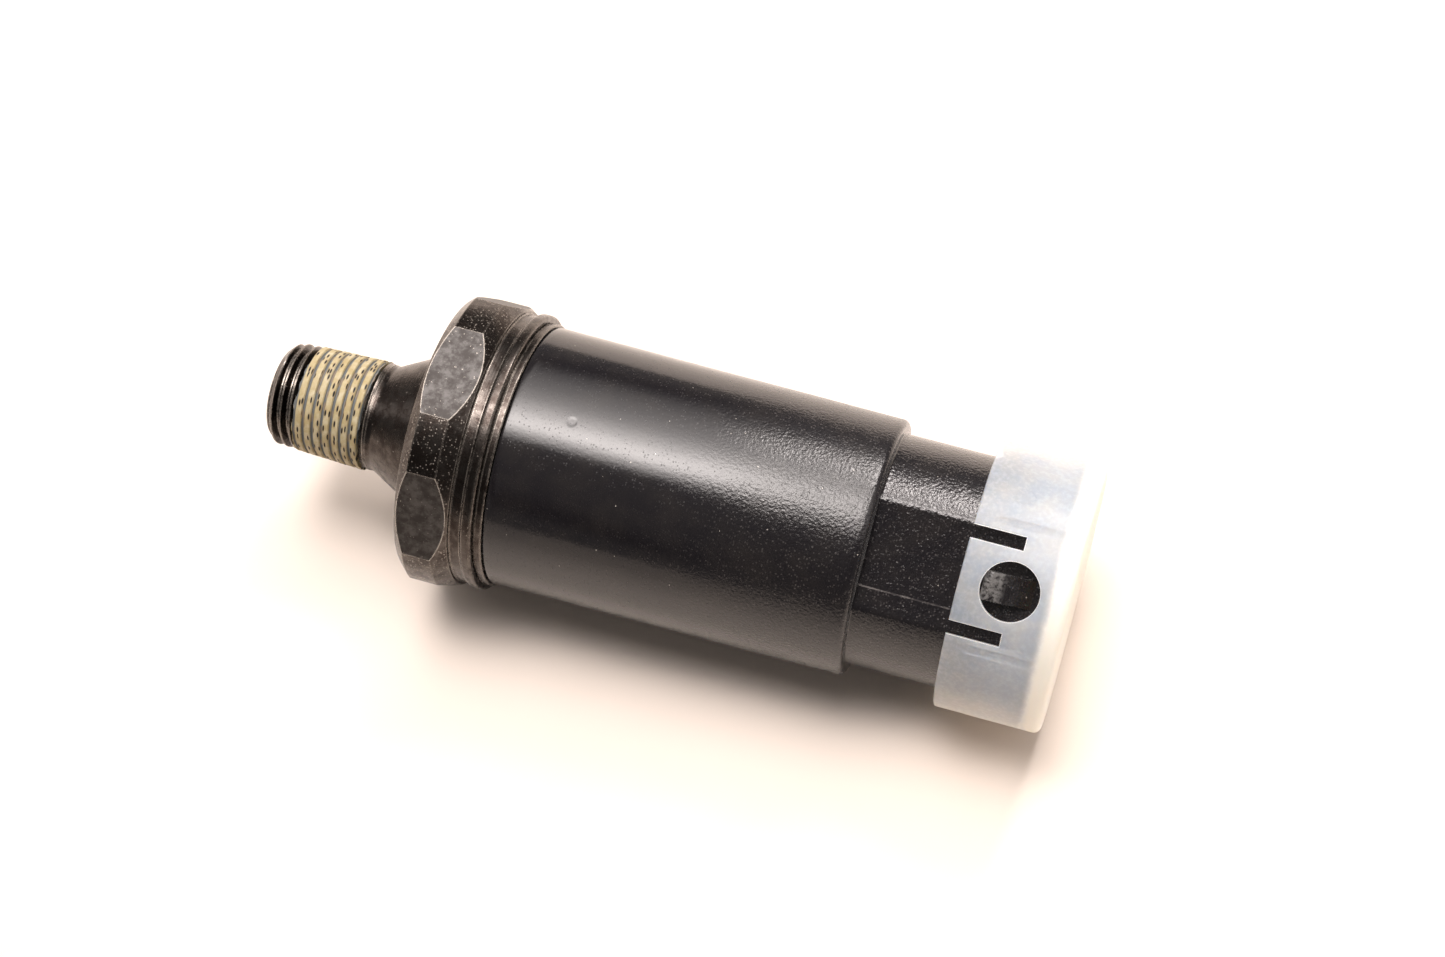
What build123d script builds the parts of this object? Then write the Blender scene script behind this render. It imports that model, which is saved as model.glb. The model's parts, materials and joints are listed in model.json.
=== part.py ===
from build123d import *
import os
from math import cos, degrees, radians, sin, tan

os.makedirs("parts", exist_ok=True)

# Oil pressure sender. Millimetres and degrees. The long axis is X: the thread
# points to -X and the plug socket to +X. The origin is on the axis where the
# thread ends at the flare. One flat of the hexagon faces -Z, which is how the
# sender comes to rest.

# Clearances
press_gap = 0.02
seat_gap = 0.05
running_gap = 0.06
sleeve_gap = 0.15

# Cuts run past their faces by this, and joined forms run into each other by the next
past = 1.0
bite = 0.1

# Tapered thread and flare
thread_length = 10.29
thread_tip_diameter = 9.96
thread_taper = 1 / 16
thread_tip_chamfer = 0.71
thread_run_in = 2.93
sealant_length = 6.61
sealant_coat = 0.12
undercut_width = 0.47
undercut_depth = 0.15
flare_angle = 28
flare_length = 5.83
oil_port_diameter = 3.02

# Hexagon
hex_flats = 26.9875
hex_corner_reach = 0.77
hex_width = 5.22
hex_tip_face_inset = 0.22
hex_tip_chamfer = 1.04
hex_back_face_inset = 0.13
hex_back_chamfer = 1.42
hex_wall = 1.22

# Crimped cup
groove_width = 1.13
groove_depth = 0.38
collar_width = 1.13
collar_round = 0.34
cup_wall = 1.14
lip_width = 0.8
lip_proud = 0.22
lip_thickness = 1.18
lip_line_width = 0.09
lip_line_depth = 0.19

# Pressure chamber
chamber_inset = 0.24
chamber_depth = 0.76
seal_width = 2.17
seal_thickness = 0.76
diaphragm_thickness = 0.24
roll_inset = 0.8
roll_width = 2.36
roll_depth = 0.57
restrictor_diameter = 4.72
restrictor_length = 2.83
restrictor_bore = 0.8

# Plunger and its guide
travel = 1.37
head_inset = 0.76
head_thickness = 0.57
head_room = 0.38
stem_diameter = 3.78
nose_radius = 0.76
nose_length = 1.32
nose_rise = 1.51
guide_rim_thickness = 1.42
guide_hat_wall = 1.13
guide_hat_room = 1.79
guide_tube_wall = 1.46
guide_tube_height = 2.83
clip_reach = 1.89
clip_thickness = 0.57
clip_mouth = 2.46
clip_groove_depth = 0.47
spring_length = 5.34
spring_room = 0.8
spring_wire = 0.47
spring_turns = 5

# Bracket
sheet = 0.94
cheek_room = 0.57
cheek_half_height = 2.27
bridge_hole_room = 0.28
foot_length = 3.21
foot_rise = 1.89
foot_half_width = 1.89
ear_reach = 1.89
ear_half_height = 1.7
screw_diameter = 1.89
screw_head_rim = 0.57
screw_head_height = 1.13
screw_slot = 0.47

# Lever and wiper
lever_offset = 2.83
nose_gap = 0.12
pin_diameter = 1.42
pin_head_rim = 0.52
pin_head_height = 0.47
sleeve_wall = 0.84
finger_drop = 0.76
finger_back = 0.47
finger_length = 3.97
finger_width = 2.27
arm_length = 8.5
arm_height = 1.32
arm_width = 1.13
gusset_height = 2.74
gusset_length = 5.1
wiper_reach = 11.33
leaf_thickness = 0.19
leaf_height = 1.7
leaf_tail = 3.21
rivet_place = 4.34
rivet_diameter = 0.85
rivet_head_rim = 0.38
rivet_head_height = 0.33
contact_diameter = 1.13
contact_length = 1.04
wiper_gap = 0.08

# Resistor
card_width = 3.78
card_length = 10.01
card_thickness = 0.94
winding_length = 6.99
winding_wire = 0.24
winding_turns = 12
winding_fill = 0.6
winding_end = 0.1
post_height = 2.08
post_wall = 0.85
post_grip = 0.76
post_root = 0.47

# Housing
flange_thickness = 1.94
flange_step = 0.61
foot_step = 0.92
body_draft = 0.32
body_length = 34.28
body_end_round = 0.57
body_foot_round = 0.19
body_wall = 0.94
bulkhead_thickness = 2.83
socket_floor_rise = 0.94
shoulder_step = 1.23
neck_length = 17.19
neck_wall = 1.33
neck_mouth_round = 0.28
latch_angle = 62.5
latch_width = 2.64
latch_height = 0.76
latch_land = 0.85
latch_ramp = 4.16
latch_set_back = 0.15
latch_root = 0.28

# Blades
blade_width = 4.8
blade_thickness = 0.8
blade_length = 12.47
blade_tip = 0.85
blade_upper_rise = 4.34
blade_lower_drop = 4.16
blade_lower_spread = 9.07
tail_width = 1.89
tail_length = 5.29
riser_set_back = 0.94
riser_width = 1.89
lead_diameter = 0.76
lead_bend = 1.42
lead_fall = 1.89

# Dust cap
cap_room = 0.86
cap_wall = 0.8
cap_length = 9.95
cap_end_wall = 1.51
cap_end_round = 0.76
cap_lip_round = 0.19
cap_hole_diameter = 5.33
cap_hole_set_back = 4.58
cap_slot_length = 4.82
cap_slot_width = 1.23
cap_tongue_width = 7.46
cap_ribs = 6
cap_rib_width = 0.94
cap_rib_set_back = 1.65

# Stations along the axis
tip_x = -thread_length
flare_x = undercut_width
hex_x = flare_x + flare_length
groove_x = hex_x + hex_width
collar_x = groove_x + groove_width
lip_x = collar_x + collar_width
crimp_end_x = lip_x + lip_width
body_x = crimp_end_x + seat_gap
shoulder_x = body_x + body_length
mouth_x = shoulder_x + neck_length
cap_end_x = mouth_x + press_gap + cap_end_wall
cap_x = cap_end_x - cap_length

flange_top_x = crimp_end_x - lip_thickness
flange_x = flange_top_x - flange_thickness
guide_x = flange_x - guide_rim_thickness
diaphragm_x = guide_x - diaphragm_thickness
seal_x = diaphragm_x - seal_thickness
chamber_x = seal_x - chamber_depth

head_x = guide_x + press_gap
guide_ceiling_x = head_x + head_thickness + travel + head_room
guide_top_x = guide_ceiling_x + guide_hat_wall
tube_top_x = guide_top_x + guide_tube_height
clip_x = tube_top_x + seat_gap
spring_x = clip_x + clip_thickness + press_gap
bridge_x = spring_x + spring_length + press_gap
bridge_top_x = bridge_x + sheet
nose_x = bridge_top_x + nose_rise
pivot_x = nose_x + travel / 2 + nose_gap + finger_drop
pivot_z = -lever_offset
lever_sweep = degrees(travel / lever_offset)

socket_x = shoulder_x + socket_floor_rise
bulkhead_x = socket_x - bulkhead_thickness
tail_x = bulkhead_x - tail_length
riser_x = tail_x + riser_set_back
riser_end_x = riser_x + riser_width

# Diameters, from the hexagon inwards and then along the housing
hex_corner_diameter = hex_flats + 2 * hex_corner_reach
hex_tip_face_diameter = hex_flats - 2 * hex_tip_face_inset
hex_back_face_diameter = hex_flats - 2 * hex_back_face_inset
undercut_diameter = thread_tip_diameter + thread_length * thread_taper - 2 * undercut_depth
cup_diameter = hex_flats - 2 * hex_wall
collar_diameter = cup_diameter + 2 * cup_wall
flange_diameter = cup_diameter - 2 * seat_gap
crimp_seat_diameter = flange_diameter - 2 * flange_step
body_diameter = crimp_seat_diameter + 2 * foot_step
lip_diameter = body_diameter + 2 * lip_proud
body_inside_diameter = crimp_seat_diameter - 2 * body_wall
body_end_diameter = body_diameter - 2 * body_draft
neck_diameter = body_end_diameter - 2 * shoulder_step
socket_diameter = neck_diameter - 2 * neck_wall
cap_inside_diameter = neck_diameter + 2 * cap_room
cap_diameter = cap_inside_diameter + 2 * cap_wall

seal_inner_diameter = flange_diameter - 2 * seal_width
chamber_diameter = seal_inner_diameter - 2 * chamber_inset
roll_outer_diameter = seal_inner_diameter - 2 * roll_inset
roll_inner_diameter = roll_outer_diameter - 2 * roll_width
head_diameter = roll_inner_diameter - 2 * head_inset
guide_hat_diameter = body_inside_diameter - 2 * guide_hat_room
clip_groove_diameter = stem_diameter - 2 * clip_groove_depth
clip_diameter = stem_diameter + 2 * clip_reach
spring_diameter = stem_diameter + 2 * spring_room + spring_wire
sleeve_diameter = pin_diameter + 2 * running_gap + 2 * sleeve_wall
pin_head_diameter = pin_diameter + 2 * pin_head_rim
screw_head_diameter = screw_diameter + 2 * screw_head_rim
rivet_head_diameter = rivet_diameter + 2 * rivet_head_rim

# Across the axis
cheek_y = clip_diameter / 2 + cheek_room
screw_offset = cheek_y + sheet + foot_length / 2
leaf_y = arm_width / 2 + press_gap
winding_y = leaf_y + leaf_thickness + contact_length + wiper_gap
card_y = winding_y + winding_wire + press_gap
card_x = pivot_x + wiper_reach - card_width / 2
card_z = pivot_z
card_back_y = card_y + card_thickness
winding_back_y = card_back_y + press_gap + winding_wire
back_leaf_y = winding_back_y + seat_gap
back_leaf_end_y = back_leaf_y + leaf_thickness


def turned(*points):
    # points are (along the axis, radius)
    return revolve(make_face(Polyline(*points, close=True)), Axis.X, 360)


def bar(x0, x1, diameter):
    return Plane.YZ.offset(x0) * extrude(Circle(diameter / 2), x1 - x0)


def block(x0, x1, y0, y1, z0, z1):
    place = Pos((x0 + x1) / 2, (y0 + y1) / 2, (z0 + z1) / 2)
    return place * Box(x1 - x0, y1 - y0, z1 - z0)


def across(x, z, y0, y1, diameter):
    # a round bar along Y
    turn = Pos(x, (y0 + y1) / 2, z) * Rot(90, 0, 0)
    return turn * Cylinder(diameter / 2, y1 - y0)


def plate_xz(points, y0, y1):
    # a flat piece that lies in XZ, with (x, z) points
    outline = Polyline(*[(x, y0, z) for x, z in points], close=True)
    return extrude(make_face(outline), y1 - y0, dir=(0, 1, 0))


def rims(solid, x, diameter):
    found = solid.edges().filter_by(GeomType.CIRCLE)
    return [e for e in found
            if abs(e.arc_center.X - x) < 0.01 and abs(e.radius - diameter / 2) < 0.01]


def at_latch(shape):
    # from the -Y side up to the latch's place
    return Rot(-latch_angle, 0, 0) * shape


def save(name, shape):
    shape.label = name
    export_step(shape, f"parts/{name}.step")


def thread_radius(x):
    return thread_tip_diameter / 2 + (x - tip_x) * thread_taper / 2


# Turned base: thread, flare, hexagon and crimped cup, one piece
tip_r = thread_tip_diameter / 2
undercut_r = undercut_diameter / 2
flare_r = undercut_r + flare_length * tan(radians(flare_angle))
shank = turned(
    (tip_x, 0),
    (tip_x, tip_r - thread_tip_chamfer),
    (tip_x + thread_tip_chamfer, thread_radius(tip_x + thread_tip_chamfer)),
    (0, thread_radius(0)),
    (0, undercut_r),
    (flare_x, undercut_r),
    (hex_x, flare_r),
    (hex_x, 0),
)
hex_prism = extrude(
    Plane.YZ.offset(hex_x) * RegularPolygon(hex_flats / 2, 6, major_radius=False),
    hex_width,
)
hex_envelope = turned(
    (hex_x, 0),
    (hex_x, hex_tip_face_diameter / 2),
    (hex_x + hex_tip_chamfer, hex_corner_diameter / 2),
    (groove_x - hex_back_chamfer, hex_corner_diameter / 2),
    (groove_x, hex_back_face_diameter / 2),
    (groove_x, 0),
)
groove_r = collar_diameter / 2 - groove_depth
lip_line_r = lip_diameter / 2 - lip_line_depth
crimp = turned(
    (groove_x, 0),
    (groove_x, groove_r),
    (collar_x, groove_r),
    (collar_x, collar_diameter / 2),
    (lip_x, collar_diameter / 2),
    (lip_x, lip_line_r),
    (lip_x + lip_line_width, lip_line_r),
    (lip_x + lip_line_width, lip_diameter / 2),
    (crimp_end_x, lip_diameter / 2),
    (crimp_end_x, 0),
)
collar_rims = rims(crimp, collar_x, collar_diameter) + rims(crimp, lip_x, collar_diameter)
crimp = fillet(collar_rims, min(collar_round, groove_depth * 0.9))
restrictor_seat_x = chamber_x - restrictor_length
cavity = turned(
    (tip_x - past, 0),
    (tip_x - past, oil_port_diameter / 2),
    (restrictor_seat_x, oil_port_diameter / 2),
    (restrictor_seat_x, restrictor_diameter / 2 + press_gap),
    (chamber_x, restrictor_diameter / 2 + press_gap),
    (chamber_x, chamber_diameter / 2),
    (seal_x, chamber_diameter / 2),
    (seal_x, cup_diameter / 2),
    (flange_top_x, cup_diameter / 2),
    (flange_top_x, crimp_seat_diameter / 2 + seat_gap),
    (crimp_end_x + past, crimp_seat_diameter / 2 + seat_gap),
    (crimp_end_x + past, 0),
)
hex_base = shank + (hex_prism & hex_envelope) + crimp - cavity
save("hex_base", hex_base)

restrictor = bar(restrictor_seat_x, chamber_x, restrictor_diameter)
restrictor -= bar(restrictor_seat_x - past, chamber_x + past, restrictor_bore)
save("port_restrictor", restrictor)

# Sealant that fills the thread and stands a little proud of its crests
sealant_x0 = tip_x + thread_run_in
sealant_x1 = sealant_x0 + sealant_length
thread_sealant = turned(
    (sealant_x0, thread_radius(sealant_x0) + press_gap / 2),
    (sealant_x0, thread_radius(sealant_x0) + sealant_coat),
    (sealant_x1, thread_radius(sealant_x1) + sealant_coat),
    (sealant_x1, thread_radius(sealant_x1) + press_gap / 2),
)
save("thread_sealant", thread_sealant)

# Gasket and diaphragm, clamped under the guide plate
seal_r = flange_diameter / 2
seal_inner_r = seal_inner_diameter / 2
seal_ring = turned(
    (seal_x, seal_inner_r),
    (seal_x, seal_r),
    (diaphragm_x, seal_r),
    (diaphragm_x, seal_inner_r),
)
save("seal_ring", seal_ring)

roll_r0 = roll_inner_diameter / 2
roll_r1 = roll_outer_diameter / 2
roll_mid = (roll_r0 + roll_r1) / 2
lower_line = [
    Line((diaphragm_x, 0), (diaphragm_x, roll_r0)),
    ThreePointArc((diaphragm_x, roll_r0), (diaphragm_x - roll_depth, roll_mid),
                  (diaphragm_x, roll_r1)),
    Line((diaphragm_x, roll_r1), (diaphragm_x, seal_r)),
    Line((diaphragm_x, seal_r), (guide_x, seal_r)),
]
upper_line = [
    Line((guide_x, seal_r), (guide_x, roll_r1 - diaphragm_thickness)),
    ThreePointArc((guide_x, roll_r1 - diaphragm_thickness),
                  (guide_x - roll_depth, roll_mid),
                  (guide_x, roll_r0 + diaphragm_thickness)),
    Line((guide_x, roll_r0 + diaphragm_thickness), (guide_x, 0)),
    Line((guide_x, 0), (diaphragm_x, 0)),
]
diaphragm = revolve(make_face(Wire(lower_line + upper_line)), Axis.X, 360)
save("diaphragm", diaphragm)

# Guide plate: rim, hat and guide tube
hat_r = guide_hat_diameter / 2
bore_r = stem_diameter / 2 + running_gap
tube_r = bore_r + guide_tube_wall
guide_plate = turned(
    (guide_x, hat_r - guide_hat_wall),
    (guide_x, seal_r),
    (flange_x, seal_r),
    (flange_x, hat_r),
    (guide_top_x, hat_r),
    (guide_top_x, tube_r),
    (tube_top_x, tube_r),
    (tube_top_x, bore_r),
    (guide_ceiling_x, bore_r),
    (guide_ceiling_x, hat_r - guide_hat_wall),
)
screw_holes = [
    Pos(0, side * screw_offset, 0) * bar(guide_ceiling_x - past, guide_top_x + past,
                                         screw_diameter + 2 * press_gap)
    for side in (-1, 1)
]
for hole in screw_holes:
    guide_plate -= hole
save("guide_plate", guide_plate)

# Plunger: head, stem with a clip groove, tapered nose
stem_r = stem_diameter / 2
clip_groove_x0 = clip_x - press_gap
clip_groove_x1 = clip_x + clip_thickness + press_gap
plunger = turned(
    (head_x, 0),
    (head_x, head_diameter / 2),
    (head_x + head_thickness, head_diameter / 2),
    (head_x + head_thickness, stem_r),
    (clip_groove_x0, stem_r),
    (clip_groove_x0, clip_groove_diameter / 2),
    (clip_groove_x1, clip_groove_diameter / 2),
    (clip_groove_x1, stem_r),
    (nose_x - nose_length - nose_radius, stem_r),
    (nose_x - nose_radius, nose_radius),
    (nose_x - nose_radius, 0),
)
plunger += Pos(nose_x - nose_radius, 0, 0) * Sphere(nose_radius)
save("plunger", plunger)

clip = bar(clip_x, clip_x + clip_thickness, clip_diameter)
clip -= bar(clip_x - past, clip_x + clip_thickness + past,
            clip_groove_diameter + 2 * press_gap)
clip -= block(clip_x - past, clip_x + clip_thickness + past, -clip_mouth / 2,
              clip_mouth / 2, 0, clip_diameter)
save("retaining_clip", clip)

# Return spring
wire_r = spring_wire / 2
coil_height = spring_length - spring_wire
coil = Helix(coil_height / spring_turns, coil_height, spring_diameter / 2)
coil_section = Plane(origin=coil @ 0, z_dir=coil % 0) * Circle(wire_r)
spring = sweep(coil_section, path=coil, is_frenet=True)
spring = Pos(spring_x + wire_r, 0, 0) * Rot(0, 90, 0) * spring
save("return_spring", spring)

# Bracket: two cheeks with feet and ears, and a bridge for the spring
cheek = [
    (guide_top_x, -foot_half_width),
    (guide_top_x, foot_half_width),
    (guide_top_x + foot_rise, cheek_half_height),
    (bridge_top_x, cheek_half_height),
    (pivot_x + ear_reach, pivot_z + ear_half_height),
    (pivot_x + ear_reach, pivot_z - ear_half_height),
    (bridge_x - sheet, pivot_z - ear_half_height),
    (guide_top_x + foot_rise, -cheek_half_height),
]
bracket = plate_xz(cheek, cheek_y, cheek_y + sheet)
bracket += plate_xz(cheek, -cheek_y - sheet, -cheek_y)
bridge = block(bridge_x, bridge_top_x, -cheek_y, cheek_y, -cheek_half_height,
               cheek_half_height)
bracket += bridge - bar(bridge_x - past, bridge_top_x + past,
                        stem_diameter + 2 * bridge_hole_room)
for side in (-1, 1):
    foot_y = sorted((side * cheek_y, side * (cheek_y + sheet + foot_length)))
    foot = block(guide_top_x, guide_top_x + sheet, *foot_y, -foot_half_width,
                 foot_half_width)
    hole = Pos(0, side * screw_offset, 0) * bar(
        guide_top_x - past, guide_top_x + sheet + past, screw_diameter + 2 * seat_gap)
    bracket += foot
    bracket -= hole
pin_reach = cheek_y + sheet
bracket -= across(pivot_x, pivot_z, -pin_reach - past, pin_reach + past,
                  pin_diameter + 2 * press_gap)
save("bracket", bracket)

screws = []
for side in (-1, 1):
    head_base_x = guide_top_x + sheet + press_gap
    screw = bar(guide_ceiling_x + seat_gap, head_base_x, screw_diameter)
    screw += bar(head_base_x, head_base_x + screw_head_height, screw_head_diameter)
    screw -= block(head_base_x + screw_head_height - screw_slot,
                   head_base_x + screw_head_height + past, -screw_slot / 2,
                   screw_slot / 2, -screw_head_diameter, screw_head_diameter)
    screws.append(Pos(0, side * screw_offset, 0) * screw)
save("bracket_screws", Compound(children=screws))

pivot_pin = across(pivot_x, pivot_z, -pin_reach - press_gap, pin_reach + press_gap,
                   pin_diameter)
for side in (-1, 1):
    ends = sorted((side * (pin_reach + press_gap),
                   side * (pin_reach + press_gap + pin_head_height)))
    pivot_pin += across(pivot_x, pivot_z, *ends, pin_head_diameter)
save("pivot_pin", pivot_pin)


# Lever group, drawn at mid travel about its pivot and tipped back to rest
def tipped(shape):
    return Pos(pivot_x, 0, pivot_z) * Rot(0, -lever_sweep / 2, 0) * shape


sleeve_y = cheek_y - sleeve_gap
lever = across(0, 0, -sleeve_y, sleeve_y, sleeve_diameter)
lever += block(-finger_drop, finger_back, -finger_width / 2, finger_width / 2, 0,
               finger_length)
lever += block(0, arm_length, -arm_width / 2, arm_width / 2, -arm_height / 2,
               arm_height / 2)
lever += plate_xz([(0, gusset_height), (gusset_length, 0), (0, 0)],
                  -arm_width / 2, arm_width / 2)
lever -= across(0, 0, -sleeve_y - past, sleeve_y + past, pin_diameter + 2 * running_gap)
lever -= across(rivet_place, 0, -arm_width, arm_width, rivet_diameter + 2 * press_gap)
save("lever", tipped(lever))

leaf_back_y = leaf_y + leaf_thickness
wiper_leaf = plate_xz(
    [
        (leaf_tail, -leaf_height / 2),
        (leaf_tail, leaf_height / 2),
        (arm_length, leaf_height / 2),
        (wiper_reach + contact_diameter, contact_diameter / 2),
        (wiper_reach + contact_diameter, -contact_diameter / 2),
        (arm_length, -leaf_height / 2),
    ],
    leaf_y,
    leaf_back_y,
)
wiper_leaf -= across(rivet_place, 0, leaf_y - past, leaf_back_y + past,
                     rivet_diameter + 2 * press_gap)
save("wiper_leaf", tipped(wiper_leaf))

contact = across(wiper_reach, 0, leaf_back_y + press_gap / 2,
                 leaf_back_y + contact_length, contact_diameter)
contact = fillet(contact.edges().sort_by(Axis.Y)[-1], contact_diameter / 4)
save("wiper_contact", tipped(contact))

rivet_y0 = -arm_width / 2 - press_gap
rivet_y1 = leaf_back_y + press_gap
rivet = across(rivet_place, 0, rivet_y0, rivet_y1, rivet_diameter)
rivet += across(rivet_place, 0, rivet_y0 - rivet_head_height, rivet_y0,
                rivet_head_diameter)
rivet += across(rivet_place, 0, rivet_y1, rivet_y1 + rivet_head_height,
                rivet_head_diameter)
save("wiper_rivet", tipped(rivet))

# Resistor: a strip with turns of wire side by side
card = block(card_x, card_x + card_width, card_y, card_back_y,
             card_z - card_length / 2, card_z + card_length / 2)
save("resistor_card", card)

turn_height = winding_length / winding_turns
winding_z0 = card_z - winding_length / 2
inner = press_gap
outer = press_gap + winding_wire


def wrap(z0, z1, grow):
    return block(card_x - grow, card_x + card_width + grow, card_y - grow,
                 card_back_y + grow, z0, z1)


winding = wrap(winding_z0, winding_z0 + winding_length, outer - winding_wire / 3)
for turn in range(winding_turns):
    z = winding_z0 + (turn + 0.5) * turn_height
    winding += wrap(z - turn_height * winding_fill / 2, z + turn_height * winding_fill / 2,
                    outer)
winding -= wrap(winding_z0 - past, winding_z0 + winding_length + past, inner)
save("resistor_winding", winding)

# Housing: flange, crimp seat, tapered body, shoulder, neck and socket
neck_r = neck_diameter / 2
shell = turned(
    (flange_x, 0),
    (flange_x, flange_diameter / 2),
    (flange_top_x, flange_diameter / 2),
    (flange_top_x, crimp_seat_diameter / 2),
    (body_x, crimp_seat_diameter / 2),
    (body_x, body_diameter / 2),
    (shoulder_x, body_end_diameter / 2),
    (shoulder_x, neck_r),
    (mouth_x, neck_r),
    (mouth_x, 0),
)
shell = fillet(rims(shell, shoulder_x, body_end_diameter), body_end_round)
shell = fillet(rims(shell, body_x, body_diameter), body_foot_round)
shell = fillet(rims(shell, mouth_x, neck_diameter), neck_mouth_round)
shell -= bar(flange_x - past, bulkhead_x, body_inside_diameter)
shell -= bar(socket_x, mouth_x + past, socket_diameter)

# latch ramp on the neck, highest at its back, running out at the mouth
latch_x = cap_x + cap_hole_set_back - cap_hole_diameter / 2 + latch_set_back
root_r = neck_r - latch_root
ramp = make_face(Polyline(
    (latch_x, root_r),
    (latch_x, neck_r + latch_height),
    (latch_x + latch_land, neck_r + latch_height),
    (latch_x + latch_land + latch_ramp, root_r),
    close=True,
))
ramp = Pos(0, 0, -latch_width / 2) * extrude(ramp, latch_width, dir=(0, 0, 1))
shell += at_latch(Rot(180, 0, 0) * ramp)

# two posts on the bulkhead grip the ends of the resistor strip
post_y0 = card_y - post_wall
post_y1 = card_back_y + post_wall
for side in (-1, 1):
    end_z = card_z + side * card_length / 2
    post_z = sorted((end_z - side * post_grip, end_z + side * (post_height - post_grip)))
    slot_z = sorted((end_z - side * (post_grip + past), end_z + side * seat_gap))
    post = block(card_x, bulkhead_x + post_root, post_y0, post_y1, *post_z)
    post -= block(card_x - past, card_x + card_width + seat_gap, card_y - seat_gap,
                  card_back_y + seat_gap, *slot_z)
    post -= block(riser_x - seat_gap, riser_end_x + seat_gap, back_leaf_y - seat_gap,
                  post_y1 + past, *post_z)
    shell += post


# Blades moulded into the bulkhead, with narrow tails inside
def blade(y, z):
    end_x = socket_x + blade_length
    half = blade_width / 2
    outline = Polyline(
        (tail_x, y - tail_width / 2, z),
        (tail_x, y + tail_width / 2, z),
        (bulkhead_x + blade_tip, y + tail_width / 2, z),
        (bulkhead_x + blade_tip, y + half, z),
        (end_x - blade_tip, y + half, z),
        (end_x, y + half - blade_tip, z),
        (end_x, y - half + blade_tip, z),
        (end_x - blade_tip, y - half, z),
        (bulkhead_x + blade_tip, y - half, z),
        (bulkhead_x + blade_tip, y - tail_width / 2, z),
        close=True,
    )
    lift = Pos(0, 0, -blade_thickness / 2)
    return lift * extrude(make_face(outline), blade_thickness, dir=(0, 0, 1))


def blade_slot(y, z):
    grow = press_gap
    wide = block(bulkhead_x + blade_tip - grow, socket_x + past, y - blade_width / 2 - grow,
                 y + blade_width / 2 + grow, z - blade_thickness / 2 - grow,
                 z + blade_thickness / 2 + grow)
    narrow = block(bulkhead_x - past, bulkhead_x + blade_tip, y - tail_width / 2 - grow,
                   y + tail_width / 2 + grow, z - blade_thickness / 2 - grow,
                   z + blade_thickness / 2 + grow)
    return wide + narrow


blades = {
    "terminal_supply": (0, blade_upper_rise),
    "terminal_ground": (blade_lower_spread / 2, -blade_lower_drop),
    "terminal_signal": (-blade_lower_spread / 2, -blade_lower_drop),
}
for name, (y, z) in blades.items():
    shell -= blade_slot(y, z)
    save(name, blade(y, z))
save("housing", shell)

# Leaf springs from two tails to the ends of the winding, behind the strip
ground_y, ground_z = blades["terminal_ground"]
low_z = winding_z0 + winding_end
ground_tail_y = ground_y - tail_width / 2 - seat_gap
ground_tail_z = ground_z + blade_thickness / 2
ground_leaf = plate_xz(
    [
        (card_x, low_z),
        (card_x, low_z + leaf_height / 2),
        (riser_x, low_z + leaf_height / 2),
        (riser_x, ground_tail_z),
        (riser_end_x, ground_tail_z),
        (riser_end_x, low_z),
    ],
    back_leaf_y,
    back_leaf_end_y,
)
ground_leaf += block(riser_x, riser_end_x, back_leaf_y, ground_tail_y,
                     ground_tail_z - leaf_thickness - blade_thickness,
                     ground_tail_z - blade_thickness - press_gap)
save("ground_leaf", ground_leaf)

high_z = winding_z0 + winding_length - winding_end
supply_z = blades["terminal_supply"][1] - blade_thickness / 2 - press_gap
supply_leaf = plate_xz(
    [
        (card_x, high_z - leaf_height / 2),
        (card_x, high_z),
        (riser_x, high_z),
        (riser_x, supply_z),
        (riser_end_x, supply_z),
        (riser_end_x, high_z - leaf_height / 2),
    ],
    back_leaf_y,
    back_leaf_end_y,
)
supply_leaf += block(riser_x, riser_end_x, -tail_width / 2, back_leaf_end_y,
                     supply_z - leaf_thickness, supply_z)
save("supply_leaf", supply_leaf)

# Flexible lead from the rivet's head to the signal tail
turn_back = radians(lever_sweep / 2)
lead_r = lead_diameter / 2
lead_y = rivet_y0 - rivet_head_height - press_gap - lead_r
lead_start = (pivot_x + rivet_place * cos(turn_back), lead_y,
              pivot_z + rivet_place * sin(turn_back))
signal_y, signal_z = blades["terminal_signal"]
lead_end_z = signal_z + blade_thickness / 2 + press_gap + lead_r
lead_mid_x = (lead_start[0] + tail_x) / 2
lead_path = FilletPolyline(
    lead_start,
    (lead_mid_x, lead_y, lead_start[2]),
    (lead_mid_x + lead_fall, signal_y, lead_end_z),
    (riser_end_x, signal_y, lead_end_z),
    radius=lead_bend,
)
lead_section = Plane(origin=lead_path @ 0, z_dir=lead_path % 0) * Circle(lead_r)
save("signal_lead", sweep(lead_section, path=lead_path))

# Dust cap: thin cup with crush ribs, latch hole, two slots and a tongue
cap_r = cap_diameter / 2
cap_inside_r = cap_inside_diameter / 2
cup = bar(cap_x, cap_end_x, cap_diameter)
cup = fillet(rims(cup, cap_end_x, cap_diameter), cap_end_round)
cup = fillet(rims(cup, cap_x, cap_diameter), cap_lip_round)
cup -= bar(cap_x - past, cap_end_x - cap_end_wall, cap_inside_diameter)
rib_r = neck_r + seat_gap
for index in range(cap_ribs):
    rib = block(cap_x + cap_rib_set_back, cap_end_x - cap_end_wall + bite,
                -cap_inside_r - cap_wall / 2, -rib_r, -cap_rib_width / 2,
                cap_rib_width / 2)
    cup += at_latch(Rot((index + 0.5) * 360 / cap_ribs, 0, 0) * rib)
hole_x = cap_x + cap_hole_set_back
hole = Pos(hole_x, -cap_r, 0) * Rot(90, 0, 0) * Cylinder(cap_hole_diameter / 2, cap_r)
cup -= at_latch(hole)
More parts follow.
